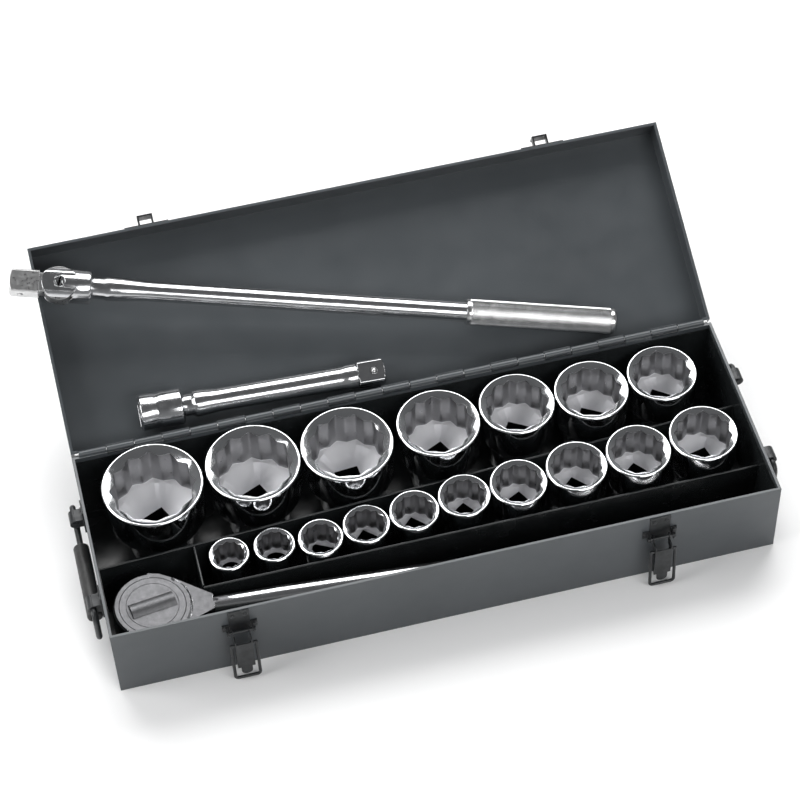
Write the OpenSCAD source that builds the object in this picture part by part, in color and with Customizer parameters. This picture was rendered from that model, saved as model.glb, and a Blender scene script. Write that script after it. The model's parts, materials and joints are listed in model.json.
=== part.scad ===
// Socket wrench set in a hinged sheet steel case, shown open with its tools laid out.
// Millimetres. Origin: centre of the case's underside. +X right, +Y to the hinge, +Z up.

/* [Case] */
// Length of the case, left to right
case_l = 540; // [538:1:556]
// Depth of the case, front to back
case_d = 178; // [178:1:182]
// Height of the base
base_h = 76; // [76:1:84]
// Depth of the lid
lid_h = 25; // [24:1:32]
// Thickness of the sheet steel
sheet = 1.2; // [1:0.1:1.4]
// Angle of the open lid above the horizontal, in degrees
lid_lean = 24.7; // [22:0.1:30]

/* [Dividers] */
// Height of the dividers' top edges above the ground
divider_top = 52; // [44:1:56]
// Place of the front divider, measured from the middle of the case
front_divider_y = -45; // [-46:0.5:-44]
// Place of the rear divider at the left wall
rear_divider_left = -6.8; // [-7:0.2:-6.4]
// Place of the rear divider at the right wall
rear_divider_right = 18; // [17.8:0.2:18.4]
// Place of the cross divider, left of the middle
end_divider_x = -190; // [-191:0.5:-189]

/* [Tools] */
// Side of the square drive
drive = 19.05; // [19.05]
// Overall length of the breaker bar
bar_l = 502; // [490:1:506]
// Overall length of the ratchet
ratchet_l = 498; // [480:1:502]
// Overall length of the extension
extension_l = 204; // [190:1:210]
// Diameter of the knurled grips
grip_d = 22; // [20:0.5:22]
// Length of the knurled grips
grip_l = 127; // [100:1:140]

/* [Hardware] */
// Distance of each latch from the middle
latch_x = 170; // [150:1:190]
// Distance between the two eyes of an end handle
handle_span = 84; // [76:1:100]
// Number of hinge knuckles
knuckles = 23; // [15:2:31]

/* [Hidden] */
BACK_ROW = [
    ["socket_2_3_8", 2 + 3 / 8, 81.5, -212, 41.5, 25],
    ["socket_2_1_4", 2 + 1 / 4, 77, -130, 43.5, 24],
    ["socket_2_3_16", 2 + 3 / 16, 75.5, -52.5, 43, 5],
    ["socket_2", 2, 68.5, 24.5, 47.5, 26],
    ["socket_1_13_16", 1 + 13 / 16, 62.5, 92, 52.5, 58],
    ["socket_1_3_4", 1 + 3 / 4, 61.5, 155, 50.5, 59],
    ["socket_1_11_16", 1 + 11 / 16, 58, 216.5, 54, 53],
];
FRONT_ROW = [
    ["socket_7_8", 7 / 8, 32.5, -164.5, -20, 30],
    ["socket_15_16", 15 / 16, 33.5, -128, -21, 30],
    ["socket_1", 1, 36.5, -91, -25, 62],
    ["socket_1_1_16", 1 + 1 / 16, 38.2, -53, -22.5, 47],
    ["socket_1_1_8", 1 + 1 / 8, 40.4, -13, -20.5, 45],
    ["socket_1_3_16", 1 + 3 / 16, 42.5, 29, -17.5, 35],
    ["socket_1_5_16", 1 + 5 / 16, 46.5, 74, -18, 27],
    ["socket_1_7_16", 1 + 7 / 16, 50, 123, -16, 42],
    ["socket_1_1_2", 1 + 1 / 2, 53, 175, -15.5, 38],
    ["socket_1_5_8", 1 + 5 / 8, 56, 230.5, -13.5, 13],
];
SOCKETS = concat(BACK_ROW, FRONT_ROW);
SOCKET_NAMES = [for (s = SOCKETS) s[0]];

$fn = 48;
gap = 0.3;
fit = 0.05;
inch = 25.4;
front_y = -case_d / 2;
back_y = case_d / 2;
end_x = case_l / 2;

// hinge line and its rolled knuckles
knuckle_r = 2.6;
hinge_pin_r = 1.25;
hinge_y = back_y + knuckle_r - sheet;
hinge_z = base_h + 0.2;
hinge_l = case_l - 12;
knuckle_l = hinge_l / knuckles;
lid_z = base_h + 0.4;

// hem round the open edges of base and lid
hem_t = 2.4;
hem_h = 4;

// liner of the base
liner_t = 0.8;
liner_floor = sheet + 0.2 + liner_t;
liner_top = base_h - 6;
liner_wall = sheet + 0.2 + liner_t;
divider_t = 1;
divider_bead = 2;

module at_hinge() {
    translate([0, hinge_y, hinge_z]) children();
}

// turns a lid part from its closed place to the open lid
module opened() {
    at_hinge() rotate([lid_lean - 180, 0, 0]) translate([0, -hinge_y, -hinge_z]) children();
}

// frame of the open lid: +Y from the hinge to the free edge, +Z out of the lid
module on_lid() {
    at_hinge() rotate([lid_lean, 0, 0]) children();
}

module sides() {
    for (side = [-1, 1]) scale_x(side) children();
}

module scale_x(side) {
    if (side < 0) mirror([1, 0, 0]) children();
    else children();
}

module rod(r, length) {
    rotate([0, 90, 0]) cylinder(r = r, h = length, center = true);
}

// a tray with its floor at the bottom and a doubled hem round the rim
module pressed_tray(height) {
    difference() {
        translate([-end_x, front_y, 0]) cube([case_l, case_d, height]);
        translate([sheet - end_x, front_y + sheet, sheet])
            cube([case_l - 2 * sheet, case_d - 2 * sheet, height - sheet - hem_h]);
        translate([hem_t - end_x, front_y + hem_t, sheet])
            cube([case_l - 2 * hem_t, case_d - 2 * hem_t, height]);
    }
}

// knuckles with even numbers belong to the base and odd ones to the lid
module each_knuckle(first) {
    for (i = [first:2:knuckles - 1])
        translate([-hinge_l / 2 + (i + 0.5) * knuckle_l, 0, 0]) children();
}

module knuckle_tubes(first) {
    at_hinge() each_knuckle(first) rod(knuckle_r, knuckle_l - 0.6);
}

module knuckle_reliefs(first) {
    at_hinge() each_knuckle(first)
        translate([-knuckle_l / 2, -hem_t - 2.6, -knuckle_r - 0.4])
            cube([knuckle_l, 2 * knuckle_r + hem_t + 2, 2 * knuckle_r + 0.8]);
}

module hinge_bore() {
    at_hinge() rod(hinge_pin_r + fit, case_l + 2);
}

module base_shell() {
    color("dimgray")
        difference() {
            union() {
                difference() {
                    pressed_tray(base_h);
                    knuckle_reliefs(1);
                }
                knuckle_tubes(0);
            }
            hinge_bore();
        }
}

module lid_shell() {
    color("dimgray")
        opened()
            difference() {
                union() {
                    difference() {
                        translate([0, 0, lid_z + lid_h]) mirror([0, 0, 1]) pressed_tray(lid_h);
                        knuckle_reliefs(0);
                    }
                    knuckle_tubes(1);
                }
                hinge_bore();
            }
}

module hinge_pin() {
    color("silver") at_hinge() rod(hinge_pin_r, case_l - 6);
}

module case_liner() {
    color("black")
        difference() {
            translate([sheet + 0.2 - end_x, front_y + sheet + 0.2, sheet + 0.2])
                cube([case_l - 2 * sheet - 0.4, case_d - 2 * sheet - 0.4, liner_top - sheet - 0.2]);
            translate([liner_wall - end_x, front_y + liner_wall, liner_floor])
                cube([case_l - 2 * liner_wall, case_d - 2 * liner_wall, liner_top]);
        }
}

// upright divider with a rolled bead along its top edge and a tab folded along each end
module divider(from, to) {
    run = to - from;
    length = norm(run);
    foot = liner_floor + 0.1;
    translate([from[0], from[1], 0]) rotate([0, 0, atan2(run[1], run[0])]) {
        translate([0, -divider_t / 2, foot]) cube([length, divider_t, divider_top - 1 - foot]);
        translate([length / 2, 0, divider_top - 1]) rod(divider_bead / 2, length - 1);
    }
}

module rear_divider() {
    clear = liner_wall + 0.8;
    color("black")
        divider([clear - end_x, rear_divider_left], [end_x - clear, rear_divider_right]);
}

function rear_divider_y(x) =
    rear_divider_left + (rear_divider_right - rear_divider_left) * (x + end_x) / case_l;

module front_divider() {
    color("black")
        divider([end_divider_x, front_divider_y], [end_x - liner_wall - 0.2, front_divider_y]);
}

module end_divider() {
    color("black")
        divider([end_divider_x, front_divider_y + divider_bead / 2 + 0.2],
            [end_divider_x, rear_divider_y(end_divider_x) - divider_bead / 2 - 0.2]);
}

// draw latches on the front
latch_pin_y = front_y - 6;
latch_pin_z = 55;
latch_pin_r = 1.5;
bail_r = 1.3;
bail_pivot = [front_y - 11.5, 45];
bail_half_w = 10;
bail_l = 41.5;
bail_slant = 4;
ear_x = 9.5;
plate_w = 17;
rivet_r = 2.2;

module each_latch() {
    for (x = [-latch_x, latch_x]) translate([x, 0, 0]) children();
}

module latch_plates() {
    color("black")
        each_latch()
            difference() {
                union() {
                    translate([-plate_w / 2, front_y - 1.1, 50]) cube([plate_w, 1, 25]);
                    for (x = [-ear_x, ear_x]) translate([x - 0.5, 0, 0]) {
                        translate([0, latch_pin_y, latch_pin_z]) rotate([0, 90, 0])
                            cylinder(r = 3, h = 1);
                        translate([0, latch_pin_y, latch_pin_z - 3]) cube([1, front_y - 0.1 - latch_pin_y, 6]);
                    }
                    translate([-14, front_y - 1.1, latch_pin_z - 4]) cube([28, 1, 8]);
                }
                translate([0, latch_pin_y, latch_pin_z]) rod(latch_pin_r + fit, 40);
            }
}

module latch_pins() {
    color("silver")
        each_latch() translate([0, latch_pin_y, latch_pin_z]) {
            rod(latch_pin_r, 21.6);
            for (x = [-11, 11]) translate([x, 0, 0]) rod(2.2, 1.2);
        }
}

module latch_rivets() {
    color("gray")
        each_latch() {
            for (x = [-12.2, 12.2]) translate([x, front_y - 1.2, latch_pin_z + 1.6]) rotate([90, 0, 0])
                cylinder(r1 = 1.6, r2 = 1, h = 0.9);
            for (x = [-5, 5]) translate([x, front_y - 1.2, 70]) rotate([90, 0, 0])
                cylinder(r1 = rivet_r, r2 = 1.4, h = 1);
        }
}

lever_w = 14;

// pressed lever: a channel with its pivot at the top and a rounded finger tongue below
module lever_shape() {
    difference() {
        union() {
            translate([-lever_w / 2, bail_pivot[0] - 2.4, 16]) cube([lever_w, 1, 32]);
            for (x = [-lever_w / 2, lever_w / 2 - 1]) {
                translate([x, bail_pivot[0] - 2.4, 18]) cube([1, 6, 30]);
                translate([x, latch_pin_y, latch_pin_z]) rotate([0, 90, 0]) cylinder(r = 3.2, h = 1);
                translate([x, bail_pivot[0] - 2.4, 44]) cube([1, latch_pin_y - bail_pivot[0] + 3.4, 8]);
            }
            translate([-4.5, bail_pivot[0] - 2.4, 11]) cube([9, 1, 6]);
            translate([0, bail_pivot[0] - 1.4, 11]) rotate([90, 0, 0]) cylinder(r = 4.5, h = 1);
        }
        translate([0, latch_pin_y, latch_pin_z]) rod(latch_pin_r + fit, 40);
        translate([0, bail_pivot[0], bail_pivot[1]]) rod(bail_r + fit, 40);
    }
}

// wire loop whose two inturned ends ride in the lever's holes
module bail_shape() {
    translate([0, bail_pivot[0], bail_pivot[1]]) rotate([-bail_slant, 0, 0]) {
        for (side = [-1, 1]) {
            translate([side * (bail_half_w + lever_w / 2 - 2) / 2, 0, 0])
                rod(bail_r, bail_half_w - lever_w / 2 + 2);
            translate([side * bail_half_w, 0, 0]) sphere(r = bail_r);
            translate([side * bail_half_w, 0, -bail_l + 3]) cylinder(r = bail_r, h = bail_l - 3);
            translate([side * (bail_half_w - 3), 0, 3 - bail_l]) rotate([90, 0, 0])
                rotate([0, 0, side > 0 ? -90 : 180])
                    rotate_extrude(angle = 90) translate([3, 0]) circle(r = bail_r);
        }
        translate([0, 0, -bail_l]) rod(bail_r, 2 * bail_half_w - 6);
    }
}

module latch_lever_left() {
    color("black") translate([-latch_x, 0, 0]) lever_shape();
}

module latch_lever_right() {
    color("black") translate([latch_x, 0, 0]) lever_shape();
}

module latch_bail_left() {
    color("black") translate([-latch_x, 0, 0]) bail_shape();
}

module latch_bail_right() {
    color("black") translate([latch_x, 0, 0]) bail_shape();
}

// keepers on the lid's free edge, drawn with the lid shut
keeper_w = 37;
hook_w = 13;
hook_out = 9;

module lid_keepers() {
    color("black")
        opened() each_latch() translate([0, front_y - 0.1, lid_z]) {
            translate([-keeper_w / 2, -1.2, 1.5]) cube([keeper_w, 1.2, 15]);
            for (x = [-hook_w / 2, hook_w / 2 - 1.5])
                translate([x, -hook_out, 4]) cube([1.5, hook_out - 0.5, 6]);
            translate([-hook_w / 2, -hook_out - 1.2, 4]) cube([hook_w, 1.5, 11]);
        }
}

module keeper_rivets() {
    color("gray")
        opened() each_latch()
            for (x = [-14, 14]) translate([x, front_y - 1.4, lid_z + 9]) rotate([90, 0, 0])
                cylinder(r1 = rivet_r, r2 = 1.4, h = 1);
}

// end handles, hanging folded against the ends
eye_out = 7.5;
eye_z = 58;
eye_r = 4.5;
handle_wire_r = 2.5;
handle_drop = 30;
handle_grip_r = 6.4;

module each_eye() {
    sides() for (y = [-handle_span / 2, handle_span / 2]) translate([end_x, y, eye_z]) children();
}

module handle_brackets() {
    color("black")
        each_eye()
            difference() {
                union() {
                    translate([0.1, -7, -12]) cube([1.2, 14, 26]);
                    translate([eye_out, 0, 0]) rotate([90, 0, 0])
                        cylinder(r = eye_r, h = 12, center = true);
                    translate([0.1, -6, -eye_r]) cube([eye_out, 12, 2 * eye_r]);
                }
                translate([eye_out, 0, 0]) rotate([90, 0, 0])
                    cylinder(r = handle_wire_r + fit, h = 40, center = true);
            }
}

module handle_rivets() {
    color("gray")
        each_eye() for (z = [-8.5, 10.5]) translate([1.4, 0, z]) rotate([0, 90, 0])
            cylinder(r1 = rivet_r, r2 = 1.4, h = 1);
}

module handle_bail() {
    reach = handle_span / 2 + 14;
    bend = 6;
    translate([end_x + eye_out, 0, eye_z]) {
        for (side = [-1, 1]) {
            translate([0, side * (handle_span / 2 - 6.5 + reach - bend) / 2, 0]) rotate([90, 0, 0])
                cylinder(r = handle_wire_r, h = reach - bend - handle_span / 2 + 6.5, center = true);
            translate([0, side * reach, bend - handle_drop])
                cylinder(r = handle_wire_r, h = handle_drop - 2 * bend);
            for (end = [0, 1]) translate([0, side * (reach - bend), -bend - end * (handle_drop - 2 * bend)])
                rotate([0, 90, 0]) rotate([0, 0, (side > 0 ? 90 : 180) + (side > 0 ? -90 : 90) * end])
                    rotate_extrude(angle = 90) translate([bend, 0]) circle(r = handle_wire_r);
        }
        translate([0, 0, -handle_drop]) rotate([90, 0, 0])
            cylinder(r = handle_wire_r, h = 2 * (reach - bend), center = true);
    }
}

module handle_grip() {
    translate([end_x + eye_out, 0, eye_z - handle_drop]) rotate([90, 0, 0])
        difference() {
            cylinder(r = handle_grip_r, h = handle_span - 14, center = true);
            cylinder(r = handle_wire_r + fit, h = handle_span, center = true);
        }
}

module handle_bail_left() {
    color("black") scale_x(-1) handle_bail();
}

module handle_bail_right() {
    color("black") handle_bail();
}

module handle_grip_left() {
    color("black") scale_x(-1) handle_grip();
}

module handle_grip_right() {
    color("black") handle_grip();
}

// square shank with chamfered tip, running along +X from x = 0, and a hole for its ball
module square_drive(length, ball_turn) {
    chamfer = 1.5;
    difference() {
        intersection() {
            translate([0, -drive / 2, -drive / 2]) cube([length, drive, drive]);
            rotate([0, 90, 0]) rotate_extrude()
                polygon([[0, 0], [12.6, 0], [12.6, length - chamfer], [9.6, length], [0, length]]);
        }
        translate([length - 9, 0, 0]) rotate([ball_turn, 0, 0]) translate([0, 0, drive / 2 - 7])
            cylinder(r = ball_r + fit, h = 8);
    }
}

ball_r = 2.5;
ball_out = 1;

module drive_ball(length, ball_turn) {
    translate([length - 9, 0, 0]) rotate([ball_turn, 0, 0])
        translate([0, 0, drive / 2 + ball_out - ball_r]) sphere(r = ball_r);
}

// small coil seen as a short closed sleeve under the ball
module drive_ball_spring(length, ball_turn) {
    translate([length - 9, 0, 0]) rotate([ball_turn, 0, 0]) translate([0, 0, drive / 2 - 6.9])
        difference() {
            cylinder(r = 2, h = 1.8);
            translate([0, 0, -1]) cylinder(r = 1.3, h = 4);
        }
}

// knurled sleeve with a closed, rounded end, running along +X from x = 0
module grip_sleeve(bore_r) {
    r = grip_d / 2;
    rotate([0, 90, 0]) rotate_extrude()
        polygon([[bore_r, 0], [r - 1, 0], [r, 1.5], [r, grip_l - 3], [r - 1.2, grip_l - 0.8],
            [r - 3, grip_l], [0, grip_l], [0, grip_l - 8], [bore_r, grip_l - 8]]);
}

// ratchet, lying with its drive down and its handle running down to the right
head_r = 31;
head_t = 26;
ratchet_pose = [-233, -55.5, 45];
ratchet_turn = [0, 3.7, -2.2];
neck_r = 7;
gear_z = -8;
gear_t = 11;
gear_r = 13.5;
hub_r = 12;
pocket_r = 17;
cover_r = 26;
dial_r = 20.6;
cover_t = 3;
anvil_l = 22;
hub_drop = 6;
handle_from = 40;

module at_ratchet() {
    translate(ratchet_pose) rotate(ratchet_turn) children();
}

module ratchet_body() {
    grip_start = ratchet_l - head_r - grip_l;
    color("silver")
        at_ratchet()
            difference() {
                union() {
                    rotate_extrude()
                        polygon([[0, -head_t / 2], [head_r - 2, -head_t / 2], [head_r, 2 - head_t / 2],
                            [head_r, head_t / 2 - 1.5], [head_r - 1.5, head_t / 2], [0, head_t / 2]]);
                    intersection() {
                        translate([0, 0, -20]) linear_extrude(40)
                            polygon([[0, -head_r], [9, 2 - head_r], [handle_from + 8, -neck_r],
                                [handle_from + 8, neck_r], [9, head_r - 2], [0, head_r]]);
                        rotate([90, 0, 0]) translate([0, 0, -40]) linear_extrude(80)
                            polygon([[0, -head_t / 2], [20, -head_t / 2], [handle_from + 8, -neck_r],
                                [handle_from + 8, neck_r], [20, head_t / 2], [0, head_t / 2]]);
                    }
                    translate([handle_from, 0, 0]) rotate([0, 90, 0])
                        cylinder(r1 = neck_r, r2 = 8.2, h = 60);
                    translate([handle_from + 60, 0, 0]) rotate([0, 90, 0])
                        cylinder(r = 8.2, h = grip_start - handle_from - 60 + grip_l - 8.2);
                }
                translate([0, 0, gear_z - 0.1]) cylinder(r = pocket_r, h = 40);
                translate([18, 0, gear_z - 0.1]) cylinder(r = 6.5, h = 40);
                translate([0, 0, head_t / 2 - cover_t]) cylinder(r = cover_r + 0.2, h = 10);
                translate([0, 0, -40]) cylinder(r = hub_r + fit, h = 60);
            }
}

module ratchet_grip() {
    color("gainsboro")
        at_ratchet() translate([ratchet_l - head_r - grip_l, 0, 0]) grip_sleeve(8.2 + fit);
}

module ratchet_cover() {
    color("silver")
        at_ratchet() translate([0, 0, head_t / 2 - cover_t + 0.05])
            difference() {
                cylinder(r = cover_r, h = cover_t - 0.15);
                translate([0, 0, -1]) cylinder(r = dial_r + fit, h = 6);
            }
}

module reversing_lever() {
    ridge_l = 36;
    ridge_w = 8;
    color("silver")
        at_ratchet() translate([0, 0, head_t / 2 - cover_t + 0.05]) {
            cylinder(r = dial_r, h = cover_t - 0.05);
            rotate([0, 0, 12]) intersection() {
                cylinder(r = dial_r - 1.2, h = 9);
                translate([-ridge_l / 2, 0, 0]) rotate([90, 0, 90]) linear_extrude(ridge_l)
                    polygon([[-ridge_w, 2], [-ridge_w / 2, 6], [0, 7], [ridge_w / 2, 6], [ridge_w, 2]]);
            }
        }
}

module drive_gear() {
    teeth = 24;
    color("silver")
        at_ratchet() {
            translate([0, 0, gear_z]) linear_extrude(gear_t)
                polygon([for (i = [0:2 * teeth - 1])
                    (i % 2 == 0 ? gear_r : gear_r - 1.4)
                        * [cos(i * 180 / teeth), sin(i * 180 / teeth)]]);
            translate([0, 0, -head_t / 2 - hub_drop]) cylinder(r = hub_r, h = hub_drop + head_t / 2 + gear_z + 1);
            translate([0, 0, -head_t / 2 - hub_drop]) rotate([0, 90, 0]) square_drive(anvil_l, 90);
        }
}

// thin ring that closes the pocket over the gear
module gear_ring() {
    color("gray")
        at_ratchet() translate([0, 0, gear_z + gear_t + 0.3])
            difference() {
                cylinder(r = pocket_r - 0.3, h = 1.2);
                translate([0, 0, -1]) cylinder(r = 9, h = 4);
            }
}

pawl_at = [18.5, 0];

module pawl() {
    color("gray")
        at_ratchet()
            difference() {
                translate([0, 0, gear_z + 0.4]) linear_extrude(gear_t - 1.5)
                    difference() {
                        translate(pawl_at) circle(r = 4.6);
                        circle(r = gear_r + 0.9);
                    }
                translate([pawl_at[0], 0, 0]) cylinder(r = 1.5 + fit, h = 40, center = true);
            }
}

module pawl_pin() {
    color("silver")
        at_ratchet() translate([pawl_at[0], 0, gear_z - 0.05]) cylinder(r = 1.5, h = gear_t);
}

module pawl_spring() {
    color("silver")
        at_ratchet() translate([pawl_at[0] + 5.1, 0, gear_z + gear_t / 2])
            cube([0.5, 5, 5], center = true);
}

module ratchet_ball() {
    color("silver")
        at_ratchet() translate([0, 0, -head_t / 2 - hub_drop]) rotate([0, 90, 0])
            drive_ball(anvil_l, 90);
}

module ratchet_ball_spring() {
    color("gray")
        at_ratchet() translate([0, 0, -head_t / 2 - hub_drop]) rotate([0, 90, 0])
            drive_ball_spring(anvil_l, 90);
}

// breaker bar, laid slantwise across the open lid with its head on the left edge
bar_pose = [-250.5, 139.8, 9.7];
bar_turn = [0, 2.72, -15.21];
shank_r = 8.2;
fork_r = 14.5;
fork_half_t = 13;
web_half_t = 8;
bar_pin_r = 4.5;
tip_to_pin = 40;
fork_slot = 16;
drive_root = 16.4;

module at_bar() {
    on_lid() translate(bar_pose) rotate(bar_turn) children();
}

module bar_shank() {
    reach = bar_l - tip_to_pin;
    color("silver")
        at_bar()
            difference() {
                union() {
                    intersection() {
                        cylinder(r = fork_r, h = 2 * fork_half_t, center = true);
                        rod(fork_r + 0.5, 60);
                    }
                    rotate([0, 90, 0]) rotate_extrude()
                        polygon([[0, 0], [fork_r - 0.5, 0], [fork_r - 0.5, 24], [fork_r - 1.5, 26],
                            [9, 27], [9, 36], [10, 38.5], [9.8, 50], [shank_r, 72],
                            [shank_r, reach - 8.2], [0, reach - 8.2]]);
                }
                translate([-30, -30, -web_half_t - gap]) cube([30, 60, 2 * (web_half_t + gap)]);
                cylinder(r = fork_slot, h = 2 * (web_half_t + gap), center = true);
                cylinder(r = bar_pin_r + fit, h = 60, center = true);
            }
}

module bar_grip() {
    color("gainsboro")
        at_bar() translate([bar_l - tip_to_pin - grip_l, 0, 0]) grip_sleeve(shank_r + fit);
}

module bar_drive_head() {
    color("silver")
        at_bar()
            difference() {
                union() {
                    cylinder(r = fork_r - 0.5, h = 2 * web_half_t, center = true);
                    translate([-drive_root - 1, -7.6, -web_half_t]) cube([10, 15.2, 2 * web_half_t]);
                    translate([-drive_root, 0, 0]) mirror([1, 0, 0]) square_drive(tip_to_pin - drive_root, 90);
                }
                cylinder(r = bar_pin_r + fit, h = 60, center = true);
            }
}

module bar_pin() {
    color("silver") at_bar() cylinder(r = bar_pin_r, h = 2 * fork_half_t, center = true);
}

module bar_ball() {
    color("silver")
        at_bar() translate([-drive_root, 0, 0]) mirror([1, 0, 0]) drive_ball(tip_to_pin - drive_root, 90);
}

module bar_ball_spring() {
    color("gray")
        at_bar() translate([-drive_root, 0, 0]) mirror([1, 0, 0]) drive_ball_spring(tip_to_pin - drive_root, 90);
}

// extension, lying in the lid near the hinge with its socket end to the left
extension_pose = [-209, 25.2, -7.6];
extension_turn = [0, 1.5, -1.9];
extension_head_r = 15;
extension_shank_r = 9.6;
square_l = 22;

module at_extension() {
    on_lid() translate(extension_pose) rotate(extension_turn) children();
}

module extension_bar() {
    r = extension_head_r;
    s = extension_shank_r;
    end = extension_l - square_l;
    color("silver")
        at_extension() {
            difference() {
                rotate([0, 90, 0]) rotate_extrude()
                    polygon([[0, 0], [r - 1.5, 0], [r, 1.5], [r, 12], [r - 0.8, 13.5], [r - 0.8, 16],
                        [r, 17.5], [r, 34.5], [r - 1.5, 36], [s - 0.6, 37], [s - 0.6, 43],
                        [s + 1.4, 46], [s + 1.2, 53], [s, 64], [s, end - 14], [s + 1, end - 8],
                        [s + 1, end - 1], [s, end], [0, end]]);
                translate([-1, -drive / 2 - 0.15, -drive / 2 - 0.15])
                    cube([26, drive + 0.3, drive + 0.3]);
            }
            translate([end - 0.01, 0, 0]) square_drive(square_l, 0);
        }
}

module extension_ball() {
    color("silver")
        at_extension() translate([extension_l - square_l, 0, 0]) drive_ball(square_l, 0);
}

module extension_ball_spring() {
    color("gray")
        at_extension() translate([extension_l - square_l, 0, 0]) drive_ball_spring(square_l, 0);
}

// twelve point sockets, standing on their drive ends
function socket_h(od) = 51 + 0.59 * (od - 32.5);
function drive_end_r(od) = od < 42 ? od / 2 : 21 + 0.12 * (od - 42);

module socket(size, od) {
    h = socket_h(od);
    flat = size * inch / 2;
    corner = flat / cos(30);
    depth = h / 2 - 2;
    low_r = drive_end_r(od);
    cone_h = 0.62 * (flat - drive / 2);
    mouth_r = od / 2 - 1.6;
    mouth_h = 0.55 * (mouth_r - flat + 0.2);
    difference() {
        rotate_extrude()
            polygon([[0, 0], [low_r - 1.2, 0], [low_r, 1.2], [low_r, h * 0.36], [od / 2, h * 0.56],
                [od / 2, h - 1.2], [od / 2 - 1.2, h], [0, h]]);
        for (turn = [0, 30]) rotate([0, 0, turn]) translate([0, 0, h - depth])
            cylinder(r = corner, h = depth + 1, $fn = 6);
        translate([0, 0, h - mouth_h]) cylinder(r1 = flat - 0.2, r2 = mouth_r, h = mouth_h + 0.01);
        translate([0, 0, h - depth - cone_h]) cylinder(r1 = drive / 2, r2 = flat - 0.4, h = cone_h + 0.1);
        if (size < 0.95) translate([0, 0, 20]) cylinder(r = flat - 2.5, h = h / 2);
        translate([-drive / 2 - 0.15, -drive / 2 - 0.15, -1])
            cube([drive + 0.3, drive + 0.3, size < 0.95 ? 25 : h - depth + 0.5]);
    }
}

module placed_socket(name) {
    i = search([name], SOCKETS)[0];
    s = SOCKETS[i];
    color("silver")
        translate([s[3], s[4], liner_floor + gap]) rotate([0, 0, s[5]]) socket(s[1], s[2]);
}

base_shell();
case_liner();
rear_divider();
front_divider();
end_divider();
hinge_pin();
latch_plates();
latch_pins();
latch_rivets();
handle_brackets();
handle_rivets();
lid_shell();
lid_keepers();
keeper_rivets();
latch_lever_left();
latch_bail_left();
latch_lever_right();
latch_bail_right();
handle_bail_left();
handle_grip_left();
handle_bail_right();
handle_grip_right();
ratchet_body();
ratchet_grip();
ratchet_cover();
reversing_lever();
drive_gear();
gear_ring();
pawl();
pawl_pin();
pawl_spring();
ratchet_ball();
ratchet_ball_spring();
bar_shank();
bar_grip();
bar_drive_head();
bar_pin();
bar_ball();
bar_ball_spring();
extension_bar();
extension_ball();
extension_ball_spring();
for (name = SOCKET_NAMES) placed_socket(name);
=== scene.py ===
import bpy
import bmesh
import json
import math
from mathutils import Matrix, Vector


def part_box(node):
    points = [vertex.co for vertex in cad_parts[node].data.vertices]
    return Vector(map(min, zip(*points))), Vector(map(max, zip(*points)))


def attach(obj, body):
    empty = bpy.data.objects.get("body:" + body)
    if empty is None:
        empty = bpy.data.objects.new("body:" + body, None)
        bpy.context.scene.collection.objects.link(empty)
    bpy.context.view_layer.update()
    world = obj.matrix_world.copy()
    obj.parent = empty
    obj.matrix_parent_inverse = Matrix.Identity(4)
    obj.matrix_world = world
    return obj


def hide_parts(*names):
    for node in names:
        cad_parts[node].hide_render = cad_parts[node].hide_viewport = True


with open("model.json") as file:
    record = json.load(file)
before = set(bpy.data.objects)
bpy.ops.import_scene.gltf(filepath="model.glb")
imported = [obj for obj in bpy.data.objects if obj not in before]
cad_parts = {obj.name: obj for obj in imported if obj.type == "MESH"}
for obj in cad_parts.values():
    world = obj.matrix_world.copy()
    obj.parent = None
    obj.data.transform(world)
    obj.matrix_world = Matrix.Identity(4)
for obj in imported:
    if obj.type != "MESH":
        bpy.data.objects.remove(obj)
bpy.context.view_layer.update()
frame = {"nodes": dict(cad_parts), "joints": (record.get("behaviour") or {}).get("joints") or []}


# ---- Camera ----
# A long lens looks down on the open case from the front left, so that the
# sockets show their mouths and both tools on the lid are seen at full length.
lens_mm = 114.4
camera_at = Vector((-0.2638, -1.1745, 1.7118))
camera_right = Vector((0.9701, -0.24108, -0.02799))
camera_down = Vector((-0.20678, -0.76066, -0.61534))
camera_view = Vector((0.12706, 0.60273, -0.78777))
camera_data = bpy.data.cameras.new("camera")
camera_data.sensor_width = 36
camera_data.lens = lens_mm
camera_data.clip_start = 0.05
camera_data.clip_end = 50
camera = bpy.data.objects.new("camera", camera_data)
bpy.context.scene.collection.objects.link(camera)
axes = Matrix((camera_right, -camera_down, -camera_view)).transposed()
camera.matrix_world = Matrix.Translation(camera_at) @ axes.to_4x4()
bpy.context.scene.camera = camera


# ---- Floor and light ----
# A plain white studio sweep lit by large soft boxes. One stands high behind the
# case and fills every upward face; the others draw the long streaks on the bars.
floor_half = 7.0
sky_low, sky_high = 0.05, 0.75


def linked(name, data):
    thing = bpy.data.objects.new(name, data)
    bpy.context.scene.collection.objects.link(thing)
    return thing


def mesh_from(name, points, faces):
    mesh = bpy.data.meshes.new(name)
    mesh.from_pydata(points, [], faces)
    mesh.update()
    return mesh


class Graph:
    """A node tree with short calls for adding and joining nodes."""

    def __init__(self, tree):
        self.tree = tree

    def add(self, kind, settings=None, **sockets):
        node = self.tree.nodes.new(kind)
        for key, value in (settings or {}).items():
            setattr(node, key, value)
        for key, value in sockets.items():
            self.join(node, key.replace("_", " "), value)
        return node

    def join(self, node, key, value):
        if key.startswith("at "):
            target = node.inputs[int(key[3:])]
        else:
            target = next(one for one in node.inputs if one.name == key and one.enabled)
        if isinstance(value, bpy.types.NodeSocket):
            self.tree.links.new(value, target)
        else:
            target.default_value = value


def given_by(node):
    return next(one for one in node.outputs if one.enabled)


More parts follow.
